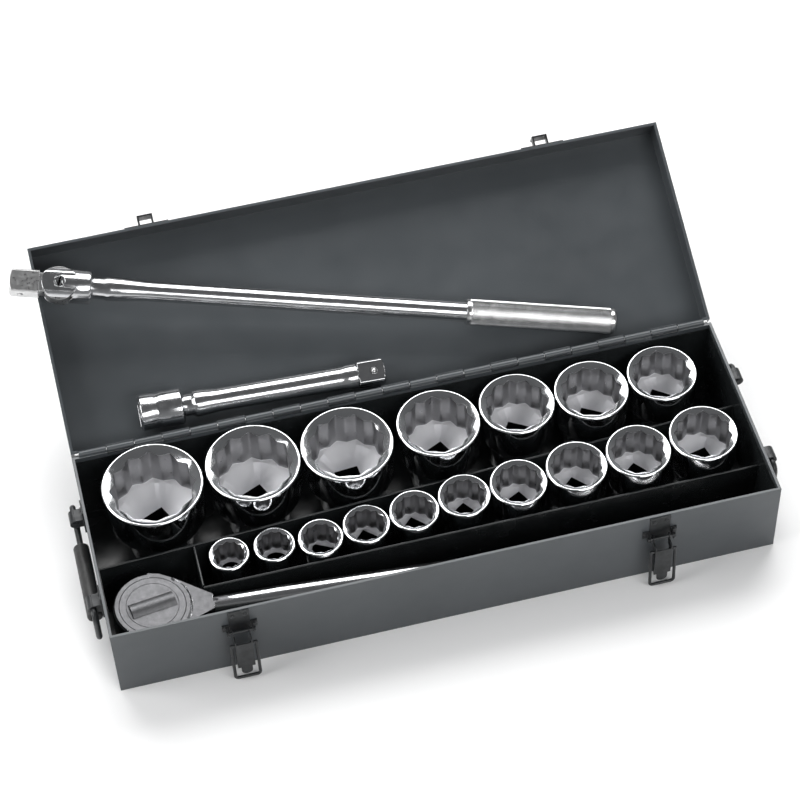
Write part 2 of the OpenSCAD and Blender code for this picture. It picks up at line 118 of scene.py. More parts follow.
def new_material(name):
    material = bpy.data.materials.new(name)
    material.use_nodes = True
    graph = Graph(material.node_tree)
    return material, graph, material.node_tree.nodes["Principled BSDF"]


def blotches(graph, scale, detail, low, high):
    """Noise over the piece, spread from low to high."""
    place = graph.add("ShaderNodeTexCoord")
    noise = graph.add("ShaderNodeTexNoise", Vector=place.outputs["Object"], Scale=scale, Detail=detail)
    spread = graph.add("ShaderNodeMapRange", Value=noise.outputs["Fac"], To_Min=low, To_Max=high)
    spread.inputs["From Min"].default_value = 0.3
    spread.inputs["From Max"].default_value = 0.7
    return spread.outputs["Result"]


def grey_tone(graph, shader, tone):
    """Base colour of one grey, given as a node output."""
    colour = graph.add("ShaderNodeCombineColor", Red=tone, Green=tone, Blue=tone)
    graph.join(shader, "Base Color", colour.outputs["Color"])


def two_tones(graph, shader, share, dark, light):
    """Base colour that runs from dark to light as the share runs from 0 to 1."""
    colour = graph.add("ShaderNodeMix", {"data_type": "RGBA"}, at_0=share)
    colour.inputs[6].default_value = (*dark, 1)
    colour.inputs[7].default_value = (*light, 1)
    graph.join(shader, "Base Color", colour.outputs[2])


def uneven(graph, shader, scale, detail, strength, depth):
    """Fine unevenness of a surface, with its depth in metres."""
    height = blotches(graph, scale, detail, 0, 1)
    bump = graph.add("ShaderNodeBump", Height=height, Strength=strength, Distance=depth)
    graph.join(shader, "Normal", bump.outputs["Normal"])


def floor_material():
    material, graph, shader = new_material("studio_white")
    grey_tone(graph, shader, blotches(graph, 3, 2, 0.90, 0.92))
    shader.inputs["Roughness"].default_value = 0.9
    shader.inputs["Specular IOR Level"].default_value = 0.1
    return material


floor_corners = [(-floor_half, -floor_half, 0), (floor_half, -floor_half, 0),
                 (floor_half, floor_half, 0), (-floor_half, floor_half, 0)]
floor = linked("floor", mesh_from("floor", floor_corners, [(0, 1, 2, 3)]))
floor.data.materials.append(floor_material())


def soft_box(name, place, target, width, height, watts):
    light = bpy.data.lights.new(name, "AREA")
    light.shape = "RECTANGLE"
    light.size = width
    light.size_y = height
    light.energy = watts
    thing = linked(name, light)
    aim = (Vector(target) - Vector(place)).to_track_quat("-Z", "Y")
    thing.matrix_world = Matrix.Translation(place) @ aim.to_matrix().to_4x4()


soft_box("box_behind", (0.3, 1.75, 2.1), (0, 0, 0.05), 3.4, 1.7, 105)
soft_box("box_left", (-2.2, 0.1, 1.5), (0, 0, 0.05), 1.7, 1.6, 42)
soft_box("box_front", (0.9, -2.6, 2.2), (0, 0, 0.03), 2.4, 1.2, 58)

world = bpy.data.worlds.new("studio")
world.use_nodes = True
bpy.context.scene.world = world
sky = Graph(world.node_tree)
sky_place = sky.add("ShaderNodeTexCoord")
sky_parts = sky.add("ShaderNodeSeparateXYZ", Vector=sky_place.outputs["Generated"])
sky_rise = sky.add("ShaderNodeMapRange", Value=sky_parts.outputs["Z"])
sky_rise.inputs["From Min"].default_value = sky_low
sky_rise.inputs["From Max"].default_value = sky_high
sky_mix = sky.add("ShaderNodeMix", {"data_type": "RGBA"}, at_0=sky_rise.outputs["Result"])
sky_mix.inputs[6].default_value = (0.30, 0.305, 0.31, 1)
sky_mix.inputs[7].default_value = (0.12, 0.122, 0.125, 1)
background = world.node_tree.nodes["Background"]
sky.join(background, "Color", sky_mix.outputs[2])
background.inputs["Strength"].default_value = 1.0
bpy.context.scene.view_settings.view_transform = "Standard"


# ---- Case base ----
# The base is one folded sheet of steel with a doubled hem round its rim, welded
# corners and every second hinge knuckle rolled from its back edge. It is sprayed
# with a dark grey enamel that cures to a faint orange peel.
def enamel_finish():
    material, graph, shader = new_material("grey_enamel")
    two_tones(graph, shader, blotches(graph, 9, 5, 0, 1), (0.044, 0.050, 0.055), (0.056, 0.063, 0.069))
    graph.join(shader, "Roughness", blotches(graph, 45, 4, 0.36, 0.46))
    uneven(graph, shader, 900, 2, 0.25, 0.00008)
    shader.inputs["Coat Weight"].default_value = 0.15
    shader.inputs["Coat Roughness"].default_value = 0.25
    return material


def ride_in(thing, body, slot_name, *nodes):
    """Sets a finished piece on its body in place of its plain solids. The slot name is not used."""
    if nodes:
        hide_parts(*nodes)
    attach(thing, body)


seam = 1e-6
sharp_from = math.radians(35)


def eased(name, node, width, material):
    """A copy of a plain solid with its seams welded and its edges broken to a small radius."""
    mesh = frame["nodes"][node].data.copy()
    mesh.materials.clear()
    work = bmesh.new()
    work.from_mesh(mesh)
    bmesh.ops.remove_doubles(work, verts=work.verts, dist=seam)
    work.to_mesh(mesh)
    work.free()
    for attribute in ("custom_normal", "sharp_edge", "sharp_face"):
        if attribute in mesh.attributes:
            mesh.attributes.remove(mesh.attributes[attribute])
    mesh.shade_smooth()
    mesh.set_sharp_from_angle(angle=sharp_from)
    thing = linked(name, mesh)
    rounding = thing.modifiers.new("rounding", "BEVEL")
    rounding.width = width
    rounding.segments = 2
    rounding.limit_method = "ANGLE"
    rounding.angle_limit = sharp_from
    rounding.use_clamp_overlap = False
    rounding.harden_normals = True
    solid = thing.evaluated_get(bpy.context.evaluated_depsgraph_get())
    thing.data = bpy.data.meshes.new_from_object(solid)
    thing.modifiers.clear()
    thing.data.name = name
    thing.data.materials.clear()
    thing.data.materials.append(material)
    return thing


def coat(node, material):
    """Shows a CAD solid as it is, in a finish of its own."""
    materials = frame["nodes"][node].data.materials
    materials.clear()
    materials.append(material)


def joint_named(name):
    return next(joint for joint in frame["joints"] if joint["name"] == name)


enamel = enamel_finish()
ride_in(eased("case_base", "base_shell", 0.00035, enamel), "case", "case_paint", "base_shell")


# ---- Hinge pin ----
# A length of bright drawn wire runs through all the knuckles of base and lid and
# is nipped at both ends.
def steel_finish(name, tone, rough_low, rough_high):
    material, graph, shader = new_material(name)
    grey_tone(graph, shader, blotches(graph, 160, 3, 0.85 * tone, 1.05 * tone))
    graph.join(shader, "Roughness", blotches(graph, 420, 3, rough_low, rough_high))
    shader.inputs["Metallic"].default_value = 1
    return material


drawn_steel = steel_finish("drawn_steel", 0.5, 0.22, 0.4)
ride_in(eased("hinge_wire", "hinge_pin", 0.0002, drawn_steel), "case", "steel_pin", "hinge_pin")


# ---- Liner and dividers ----
# A thin pressed tray lines the base. Three upright strips with rolled top edges
# part it into a back bay, a front bay and the trough for the ratchet. All of it is
# stoved in a glossy black enamel.
def liner_finish():
    material, graph, shader = new_material("black_gloss_enamel")
    two_tones(graph, shader, blotches(graph, 30, 4, 0, 1), (0.009, 0.0105, 0.011), (0.015, 0.017, 0.018))
    graph.join(shader, "Roughness", blotches(graph, 60, 4, 0.16, 0.3))
    uneven(graph, shader, 700, 2, 0.2, 0.00006)
    shader.inputs["Specular IOR Level"].default_value = 0.35
    return material


black_gloss = liner_finish()
ride_in(eased("liner", "case_liner", 0.0002, black_gloss), "case", "liner_black", "case_liner")
for strip in ("rear_divider", "front_divider", "end_divider"):
    piece = eased(strip + "_strip", strip, 0.00015, black_gloss)
    ride_in(piece, "case", "liner_black", strip)


# ---- Lid ----
# A shallow folded tray with the same hem. Its rolled knuckles fill the gaps between
# the base's, and it leans back well past upright on the surface behind the case.
ride_in(eased("lid", "lid_shell", 0.00035, enamel), "lid", "case_paint", "lid_shell")


# ---- Keepers ----
# Two folded steel hooks on the lid's free edge take the latches' wire loops. They
# are stamped, blackened and riveted on.
def blackened_finish():
    material, graph, shader = new_material("blackened_steel")
    two_tones(graph, shader, blotches(graph, 120, 5, 0, 1), (0.012, 0.013, 0.014), (0.032, 0.034, 0.036))
    graph.join(shader, "Roughness", blotches(graph, 300, 4, 0.28, 0.48))
    uneven(graph, shader, 1500, 3, 0.3, 0.00005)
    shader.inputs["Metallic"].default_value = 0.35
    return material


blackened = blackened_finish()
ride_in(eased("keeper_hooks", "lid_keepers", 0.0003, blackened), "lid", "latch_black", "lid_keepers")


# ---- Rivets ----
# Small domed rivets, closed from inside, hold the latches, keepers and handles.
# Each head is a low dome that stands on its plate.
def new_tree(name, inputs):
    tree = bpy.data.node_groups.new(name, "GeometryNodeTree")
    tree.interface.new_socket("Geometry", in_out="INPUT", socket_type="NodeSocketGeometry")
    for label, kind in inputs:
        tree.interface.new_socket(label, in_out="INPUT", socket_type=kind)
    tree.interface.new_socket("Geometry", in_out="OUTPUT", socket_type="NodeSocketGeometry")
    graph = Graph(tree)
    start = graph.add("NodeGroupInput")
    return graph, start.outputs


def close_tree(graph, geometry, finish):
    real = graph.add("GeometryNodeRealizeInstances", Geometry=geometry)
    coated = graph.add("GeometryNodeSetMaterial", Geometry=real.outputs[0], Material=finish)
    end = graph.add("NodeGroupOutput")
    graph.tree.links.new(coated.outputs[0], end.inputs[0])


def grown(name, mesh, graph, values):
    """A plain mesh made by a node tree from a starting mesh and named sizes."""
    thing = linked(name, mesh)
    growth = thing.modifiers.new("growth", "NODES")
    growth.node_group = graph.tree
    for item in graph.tree.interface.items_tree:
        if item.in_out == "INPUT" and item.name in values:
            growth[item.identifier] = values[item.name]
    solid = thing.evaluated_get(bpy.context.evaluated_depsgraph_get())
    thing.data = bpy.data.meshes.new_from_object(solid)
    thing.modifiers.clear()
    thing.data.name = name
    thing.data.materials.clear()
    thing.data.materials.append(values["Finish"])
    thing.data.polygons.foreach_set("material_index", [0] * len(thing.data.polygons))
    return thing


def rivet_tree():
    graph, given = new_tree("domed_rivets", [
        ("Head Radius", "NodeSocketFloat"), ("Head Height", "NodeSocketFloat"),
        ("Finish", "NodeSocketMaterial")])
    ball = graph.add("GeometryNodeMeshUVSphere", Segments=20, Rings=12, Radius=1.0)
    across = given["Head Radius"]
    flat = graph.add("ShaderNodeCombineXYZ", X=across, Y=across, Z=given["Head Height"])
    out = graph.add("GeometryNodeInputNamedAttribute", {"data_type": "FLOAT_VECTOR"}, Name="outward")
    turn = graph.add("FunctionNodeAlignRotationToVector", {"axis": "Z"}, Vector=given_by(out))
    heads = graph.add("GeometryNodeInstanceOnPoints", Points=given["Geometry"], Instance=ball.outputs[0],
                      Rotation=turn.outputs[0], Scale=flat.outputs[0])
    smooth = graph.add("GeometryNodeSetShadeSmooth", Geometry=heads.outputs[0])
    close_tree(graph, smooth.outputs[0], given["Finish"])
    return graph


def islands(node):
    """The corners of each separate solid in a CAD node."""
    work = bmesh.new()
    work.from_mesh(frame["nodes"][node].data)
    bmesh.ops.remove_doubles(work, verts=work.verts, dist=seam)
    waiting = set(work.verts)
    groups = []
    for corner in work.verts:
        reached = [corner] if corner in waiting else []
        waiting.discard(corner)
        group = []
        while reached:
            here = reached.pop()
            group.append(here.co.copy())
            near = [edge.other_vert(here) for edge in here.link_edges]
            near = [one for one in near if one in waiting]
            waiting.difference_update(near)
            reached += near
        if group:
            groups.append(group)
    work.free()
    return groups


def rivets(name, node, outward_at, radius, height, body):
    """Domed heads at the feet of a CAD node's plain ones, each looking out of its plate."""
    feet, ways = [], []
    for corners in islands(node):
        middle = sum(corners, Vector()) / len(corners)
        way = outward_at(middle)
        depth = min(corner.dot(way) for corner in corners)
        feet.append(middle + way * (depth - middle.dot(way)))
        ways.append(way)
    seats = mesh_from(name, feet, [])
    outward = seats.attributes.new("outward", "FLOAT_VECTOR", "POINT")
    for item, way in zip(outward.data, ways):
        item.vector = way
    piece = grown(name, seats, rivet_graph, {
        "Head Radius": radius, "Head Height": height, "Finish": blackened})
    ride_in(piece, body, "latch_black", node)


rivet_graph = rivet_tree()
lid_lean = math.pi - math.radians(joint_named("lid_hinge")["range_deg"][1])
keeper_out = Vector((0, math.cos(lid_lean), math.sin(lid_lean)))
wide_head = (0.0022, 0.001)
slim_head = (0.0019, 0.00095)
rivets("keeper_rivet_heads", "keeper_rivets", lambda at: keeper_out, *wide_head, "lid")
rivets("latch_rivet_heads", "latch_rivets", lambda at: Vector((0, -1, 0)), *slim_head, "case")
rivets("handle_rivet_heads", "handle_rivets", lambda at: Vector((math.copysign(1, at.x), 0, 0)),
       *wide_head, "case")


# ---- Draw latches ----
# Each has a back plate with two ears, a pivot pin, a pressed lever and a loop of
# spring wire that hooks over the keeper. Stamped steel, blackened.
ride_in(eased("latch_back_plates", "latch_plates", 0.00025, blackened), "case", "latch_black", "latch_plates")
ride_in(eased("latch_pivots", "latch_pins", 0.0002, blackened), "case", "steel_pin", "latch_pins")
for side in ("left", "right"):
    lever = "latch_lever_" + side
    loop = "latch_bail_" + side
    ride_in(eased(lever + "_pressing", lever, 0.00025, blackened), lever, "latch_black", lever)
    coat(loop, blackened)


# ---- End handles ----
# A bent wire handle turns in two riveted brackets on each end of the case and
# hangs down when let go. A moulded black sleeve on it fits the hand.
def sleeve_finish():
    material, graph, shader = new_material("moulded_black")
    grey_tone(graph, shader, blotches(graph, 200, 4, 0.016, 0.03))
    graph.join(shader, "Roughness", blotches(graph, 350, 3, 0.4, 0.55))
    uneven(graph, shader, 2200, 3, 0.3, 0.00008)
    return material


moulded_black = sleeve_finish()
ride_in(eased("handle_eyes", "handle_brackets", 0.0003, blackened), "case", "latch_black", "handle_brackets")
for side in ("left", "right"):
    body = "handle_" + side
    wire = "handle_bail_" + side
    grip = "handle_grip_" + side
    coat(wire, blackened)
    ride_in(eased(grip + "_sleeve", grip, 0.0015, moulded_black), body, "latch_black", grip)


# ---- Sockets ----
# Forged sockets, turned, broached with twelve points at the mouth and a square for
# the drive below, then polished and chromed. They stand on their drive ends.
# Levels of polish and painted light on the chrome: bright polish outside, a hazier mouth bevel with a little
# painted shade, buffed walls darkened as painted shade, a satin floor brightened as a painted highlight, and
# a near-black painted shade in the well and drive hole.
bright, rim_haze_with_painted_shade, buffed_with_painted_shade, satin, hole_painted_shade = 0, 0.1, 0.55, 1, 2
# Near-black tone of the painted shade in the well and the drive hole.
hole_painted_shade_tone = 0.012


def chrome_finish():
    """Chrome whose polish and painted light follow a level in a point attribute: bright outside, painted
    shade on the recess walls, a painted highlight on the floor and a near-black painted shade in the well and
    drive hole.
    """
    material, graph, shader = new_material("polished_chrome")
    ground = graph.add("ShaderNodeAttribute", {"attribute_name": "ground"})
    polish_and_light_level = graph.add("ShaderNodeMath", {"operation": "MULTIPLY"}, at_0=ground.outputs["Fac"], at_1=1 / hole_painted_shade)
    # The colour ramp: plain chrome at the bright end, then painted shade for the walls, a painted highlight
    # for the floor and a near-black painted shade for the holes.
    plate = graph.add("ShaderNodeValToRGB", Fac=polish_and_light_level.outputs[0])
    for spot, tone in ((buffed_with_painted_shade / hole_painted_shade, 0.30), (satin / hole_painted_shade, 0.97), (0.62, hole_painted_shade_tone)):
        plate.color_ramp.elements.new(spot).color = (tone, tone, tone * 1.02, 1)
    plate.color_ramp.elements[0].color = (0.76, 0.77, 0.785, 1)
    plate.color_ramp.elements[-1].color = (hole_painted_shade_tone, hole_painted_shade_tone, 0.013, 1)
    graph.join(shader, "Base Color", plate.outputs["Color"])
    dulling = graph.add("ShaderNodeValToRGB", Fac=polish_and_light_level.outputs[0])
    for spot, tone in ((buffed_with_painted_shade / hole_painted_shade, 0.22), (satin / hole_painted_shade, 0.66)):
        dulling.color_ramp.elements.new(spot).color = (tone, tone, tone, 1)
    dulling.color_ramp.elements[-1].color = (0.7, 0.7, 0.7, 1)
    haze = blotches(graph, 240, 5, 0.05, 0.13)
    rough = graph.add("ShaderNodeMath", {"operation": "ADD"}, at_0=dulling.outputs["Color"], at_1=haze)
    graph.join(shader, "Roughness", rough.outputs[0])
    uneven(graph, shader, 900, 3, 0.08, 0.00004)
    shader.inputs["Metallic"].default_value = 1
    return material


chrome = chrome_finish()
inch = 0.0254
square_half = 0.375 * inch
drive_half = square_half + 0.00015
point_count = 12
columns_per_point = 12
corner_sharpness = 0.985
mouth_slope = 0.55
rim_round = 0.0012
rim_width = 0.0016
cone_slope = 0.62
widest_with_well = 0.95 * inch / 2
well_floor = 0.024


def calc(graph, kind, *values):
    node = graph.add("ShaderNodeMath", {"operation": kind})
    for slot_number, value in enumerate(values):
        graph.join(node, "at %d" % slot_number, value)
    return node.outputs[0]


def socket_tree():
    """Turns a profile about the Z axis, pressing chosen rings of it to twelve points or a square."""
    graph, given = new_tree("broached_socket", [
        ("Columns", "NodeSocketInt"), ("Half Flats", "NodeSocketFloat"), ("Half Drive", "NodeSocketFloat"),
        ("Turn", "NodeSocketFloat"), ("Mouth Slope", "NodeSocketFloat"), ("Finish", "NodeSocketMaterial")])
    size = graph.add("GeometryNodeAttributeDomainSize", Geometry=given["Geometry"])
    rings = size.outputs["Point Count"]
    across = calc(graph, "ADD", given["Columns"], 1)
    sheet = graph.add("GeometryNodeMeshGrid", at_0=1.0, at_1=1.0, at_2=across, at_3=rings)
    here = graph.add("GeometryNodeInputPosition").outputs[0]
    place = graph.add("ShaderNodeSeparateXYZ", Vector=here).outputs
    turn_part = calc(graph, "ADD", place["X"], 0.5)
    angle = calc(graph, "MULTIPLY", turn_part, 2 * math.pi)
    last = calc(graph, "SUBTRACT", rings, 1)
    ring = calc(graph, "ROUND", calc(graph, "MULTIPLY", calc(graph, "ADD", place["Y"], 0.5), last))
    vector = {"data_type": "FLOAT_VECTOR"}

    def on_ring(value, settings=None):
        """What the profile's point for this ring holds."""
        sample = graph.add("GeometryNodeSampleIndex", settings, Geometry=given["Geometry"],
                           Value=value, Index=ring)
        return given_by(sample)

    outline = graph.add("ShaderNodeSeparateXYZ", Vector=on_ring(here, vector)).outputs
    shape = graph.add("GeometryNodeInputNamedAttribute", vector, Name="shape")
    shape = graph.add("ShaderNodeSeparateXYZ", Vector=on_ring(given_by(shape), vector)).outputs
    # Each ring's level of polish and painted light, carried on to its points.
    ground = graph.add("GeometryNodeInputNamedAttribute", Name="satin")
    ground = on_ring(given_by(ground))

    wave = calc(graph, "COSINE", calc(graph, "MULTIPLY", angle, point_count))
    bend = calc(graph, "ARCSINE", calc(graph, "MULTIPLY", wave, corner_sharpness))
    lean = calc(graph, "MULTIPLY_ADD", bend, 1 / point_count, math.radians(22.5))
    points = calc(graph, "DIVIDE", given["Half Flats"], calc(graph, "COSINE", lean))
    side = calc(graph, "MAXIMUM", calc(graph, "ABSOLUTE", calc(graph, "COSINE", angle)),
                calc(graph, "ABSOLUTE", calc(graph, "SINE", angle)))
    square = calc(graph, "DIVIDE", given["Half Drive"], side)

    radius = calc(graph, "MULTIPLY_ADD", shape["X"], points, outline["X"])
    radius = calc(graph, "MULTIPLY_ADD", shape["Z"], square, radius)
    rise = calc(graph, "MULTIPLY", calc(graph, "MULTIPLY", shape["Y"], given["Mouth Slope"]), points)
    height = calc(graph, "ADD", outline["Z"], rise)
    turned = calc(graph, "ADD", angle, given["Turn"])
    spot = graph.add("ShaderNodeCombineXYZ", X=calc(graph, "MULTIPLY", radius, calc(graph, "COSINE", turned)),
                     Y=calc(graph, "MULTIPLY", radius, calc(graph, "SINE", turned)), Z=height)
    kept = graph.add("GeometryNodeStoreNamedAttribute", {"data_type": "FLOAT", "domain": "POINT"},
                     Geometry=sheet.outputs["Mesh"], Name="ground", Value=ground)
    formed = graph.add("GeometryNodeSetPosition", Geometry=kept.outputs[0], Position=spot.outputs[0])
    closed = graph.add("GeometryNodeMergeByDistance", Geometry=formed.outputs[0], Distance=0.000005)
    close_tree(graph, closed.outputs[0], given["Finish"])
    return graph


def nominal_size(name):
    parts = [float(part) for part in name.split("_")[1:]]
    if len(parts) == 1:
        return parts[0]
    return (parts[0] if len(parts) == 3 else 0) + parts[-2] / parts[-1]


def socket_profile(height, outer, drive_end, flats):
    """Rings from the square at the foot, up the outside, over the rim and down the inside.
    Each row is: radius, height, twelve points, mouth bevel, square, and the level of polish
    and painted light (painted shade on walls and holes, a painted highlight on the floor)."""
    mouth = outer - rim_width
    step = height / 2 + 0.002
    lip = height - mouth * mouth_slope
    rows = [(0, 0, 0, 0, 1, bright), (drive_end - 0.0012, 0, 0, 0, 0, bright),
            (drive_end - 0.0004, 0.0003, 0, 0, 0, bright), (drive_end, 0.0012, 0, 0, 0, bright)]
    for share in range(9):
        ease = 0.5 - 0.5 * math.cos(math.pi * share / 8)
        radius = drive_end + (outer - drive_end) * ease
        rows.append((radius, height * (0.36 + 0.2 * share / 8), 0, 0, 0, bright))
    for turn in (0, 22.5, 45, 67.5, 90):
        angle = math.radians(turn)
        rows.append((outer - rim_round * (1 - math.cos(angle)),
                     height - rim_round * (1 - math.sin(angle)), 0, 0, 0, bright))
    rows += [(mouth, height - 0.0001, 0, 0, 0, bright)]
    # Down the inside, the mouth bevel and the buffed walls take painted shade.
    rows += [(0.0002, lip + 0.0001, 1, 1, 0, rim_haze_with_painted_shade), (0, lip - 0.0003, 1, 1, 0, buffed_with_painted_shade)]
    # From the shelf down, the satin cone floor is brightened as a painted highlight.
    rows += [(0, step + 0.0005, 1, 0, 0, buffed_with_painted_shade), (-0.0002, step, 1, 0, 0, satin)]
    rows += [(flats - 0.0008, step - 0.0003, 0, 0, 0, satin)]
    cone_foot = step - cone_slope * (flats - square_half)
    # The well and the drive hole take a near-black painted shade.
    if flats < widest_with_well:
        well = flats - 0.0025
        rows += [(well + 0.0003, cone_foot, 0, 0, 0, satin), (well, cone_foot - 0.0004, 0, 0, 0, hole_painted_shade)]
        rows += [(well, well_floor + 0.0002, 0, 0, 0, hole_painted_shade), (0, well_floor, 0, 0, 1, hole_painted_shade)]
    else:
        rows += [(0.0003, cone_foot, 0, 0, 1, satin), (0, cone_foot - 0.0004, 0, 0, 1, hole_painted_shade)]
    return rows + [(0, 0.0006, 0, 0, 1, hole_painted_shade), (0, 0, 0, 0, 1, bright)]


socket_turns = {
    "socket_2_3_8": 25, "socket_2_1_4": 24, "socket_2_3_16": 5, "socket_2": 26, "socket_1_13_16": 58,
    "socket_1_3_4": 59, "socket_1_11_16": 53, "socket_7_8": 30, "socket_15_16": 30, "socket_1": 62,
    "socket_1_1_16": 47, "socket_1_1_8": 45, "socket_1_3_16": 35, "socket_1_5_16": 27,
    "socket_1_7_16": 42, "socket_1_1_2": 38, "socket_1_5_8": 13}
socket_graph = socket_tree()
for name, turn in socket_turns.items():
    low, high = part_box(name)
    outer = (high.x - low.x + high.y - low.y) / 4
    drive_end = outer if outer < 0.021 else 0.021 + 0.12 * (2 * outer - 0.042)
    flats = nominal_size(name) * inch / 2
    rows = socket_profile(high.z - low.z, outer, drive_end, flats)
    profile = mesh_from(name + "_turned", [(row[0], 0, row[1]) for row in rows], [])
    shape = profile.attributes.new("shape", "FLOAT_VECTOR", "POINT")
    shape.data.foreach_set("vector", [part for row in rows for part in row[2:5]])
    # Each ring's level of polish and painted light.
    polish = profile.attributes.new("satin", "FLOAT", "POINT")
    polish.data.foreach_set("value", [row[5] for row in rows])
    piece = grown(name + "_turned", profile, socket_graph, {
        "Columns": point_count * columns_per_point, "Half Flats": flats, "Half Drive": drive_half,
        "Turn": math.radians(turn), "Mouth Slope": mouth_slope, "Finish": chrome})
    piece.data.transform(Matrix.Translation(((low.x + high.x) / 2, (low.y + high.y) / 2, low.z)))
    work = bmesh.new()
    work.from_mesh(piece.data)
    bmesh.ops.recalc_face_normals(work, faces=work.faces)
    work.to_mesh(piece.data)
    work.free()
    piece.data.shade_smooth()
    piece.data.set_sharp_from_angle(angle=math.radians(32))
    ride_in(piece, name, "socket_chrome", name)


# ---- Ratchet ----
# A forged reversible ratchet with a round head, a ground and satin plated face, a
# dial with a finger ridge in a retaining ring, and a polished handle.
def satin_finish():
    material, graph, shader = new_material("satin_chrome")
    shade = blotches(graph, 220, 5, 0.10, 0.135)
    cool = calc(graph, "MULTIPLY", shade, 1.04)
    colour = graph.add("ShaderNodeCombineColor", Red=shade, Green=shade, Blue=cool)
    graph.join(shader, "Base Color", colour.outputs["Color"])
    graph.join(shader, "Roughness", blotches(graph, 800, 4, 0.42, 0.55))
    uneven(graph, shader, 2600, 3, 0.35, 0.00005)
    shader.inputs["Metallic"].default_value = 1
    return material


def node_middle(node):
    low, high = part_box(node)
    return (low + high) / 2


forging_haze = 0.24
satin_face_reach = 0.062


def hand_polished(name, node, width):
    """A chromed forging. It is a little hazier than the turned sockets."""
    thing = eased(name, node, width, chrome)
    haze = thing.data.attributes.new("ground", "FLOAT", "POINT")
    haze.data.foreach_set("value", [forging_haze] * len(thing.data.vertices))
    return thing


satin_chrome = satin_finish()
inner_steel = steel_finish("ground_steel", 0.55, 0.25, 0.4)
forging = hand_polished("ratchet_forging", "ratchet_body", 0.0004)
forging.data.materials.append(satin_chrome)
head_up = -Vector(joint_named("ratchet_drive")["axis"]).normalized()
if head_up.z < 0:
    head_up.negate()
dial_middle = node_middle("ratchet_cover")
for face in forging.data.polygons:
    if face.normal.dot(head_up) > 0.85 and (face.center - dial_middle).length < satin_face_reach:
        face.material_index = 1
ride_in(forging, "ratchet", "tool_chrome", "ratchet_body")
ride_in(eased("dial_ring", "ratchet_cover", 0.0003, satin_chrome), "ratchet", "satin_chrome", "ratchet_cover")
ride_in(eased("reversing_dial", "reversing_lever", 0.0003, satin_chrome), "reversing_lever", "satin_chrome",
        "reversing_lever")
ride_in(hand_polished("gear_and_anvil", "drive_gear", 0.0002), "ratchet_drive", "tool_chrome", "drive_gear")
for node in ("gear_ring", "pawl", "pawl_pin", "pawl_spring", "ratchet_ball", "bar_ball", "extension_ball"):
    coat(node, inner_steel)


# ---- Knurled grips ----
# The ends of ratchet and breaker bar are rolled with a diamond knurl, plated with
# the rest and left bright. Each sleeve keeps a plain band at its mouth and a
# rounded end.
grip_radius = 0.011
knurl_height = 0.00045
knurl_around = 46
knurl_pitch = 0.0012
tooth_tip = 0.18
plain_end = 0.0046
sleeve_steps = 64
grip_length = 0.127
bore_depth = grip_length - 0.008
bore_radius = 0.00825


def knurl_tree():
    graph, given = new_tree("diamond_knurl", [
        ("Core Radius", "NodeSocketFloat"), ("Knurl Height", "NodeSocketFloat"), ("Around", "NodeSocketInt"),
        ("Rows", "NodeSocketInt"), ("Row Pitch", "NodeSocketFloat"), ("Finish", "NodeSocketMaterial")])
    amount = calc(graph, "MULTIPLY", given["Around"], given["Rows"])
    spots = graph.add("GeometryNodePoints", Count=amount)
    index = graph.add("GeometryNodeInputIndex").outputs[0]
    row = calc(graph, "FLOOR", calc(graph, "DIVIDE", calc(graph, "ADD", index, 0.5), given["Around"]))
    column = calc(graph, "SUBTRACT", index, calc(graph, "MULTIPLY", row, given["Around"]))
    shifted = calc(graph, "MULTIPLY_ADD", calc(graph, "MODULO", row, 2.0), 0.5, column)
    angle = calc(graph, "MULTIPLY", calc(graph, "DIVIDE", shifted, given["Around"]), 2 * math.pi)
    away = graph.add("ShaderNodeCombineXYZ", Y=calc(graph, "COSINE", angle), Z=calc(graph, "SINE", angle))
    away = away.outputs[0]
    out = graph.add("ShaderNodeVectorMath", {"operation": "SCALE"}, at_0=away, Scale=given["Core Radius"])
    along = graph.add("ShaderNodeCombineXYZ", X=calc(graph, "MULTIPLY", row, given["Row Pitch"]))
    spot = graph.add("ShaderNodeVectorMath", {"operation": "ADD"}, at_0=out.outputs[0], at_1=along.outputs[0])
    placed = graph.add("GeometryNodeSetPosition", Geometry=spots.outputs[0], Position=spot.outputs[0])
    upright = graph.add("FunctionNodeAlignRotationToVector", {"axis": "Z"}, Vector=away)
    facing = graph.add("FunctionNodeAlignRotationToVector", {"axis": "X", "pivot_axis": "Z"},
                       Rotation=upright.outputs[0], Vector=(1, 0, 0))
    half_round = calc(graph, "MULTIPLY", given["Core Radius"], math.pi)
    half_across = calc(graph, "DIVIDE", half_round, given["Around"])
    scale = graph.add("ShaderNodeCombineXYZ", X=given["Row Pitch"], Y=half_across, Z=given["Knurl Height"])
    tooth = graph.add("GeometryNodeMeshCone", {"fill_type": "NGON"},
                      Vertices=4, at_3=tooth_tip, at_4=1.0, Depth=1.0)
    teeth = graph.add("GeometryNodeInstanceOnPoints", Points=placed.outputs[0], Instance=tooth.outputs[0],
                      Rotation=facing.outputs[0], Scale=scale.outputs[0])
    core = graph.add("GeometryNodeJoinGeometry")
    graph.tree.links.new(teeth.outputs[0], core.inputs[0])
    graph.tree.links.new(given["Geometry"], core.inputs[0])
    close_tree(graph, core.outputs[0], given["Finish"])
    return graph


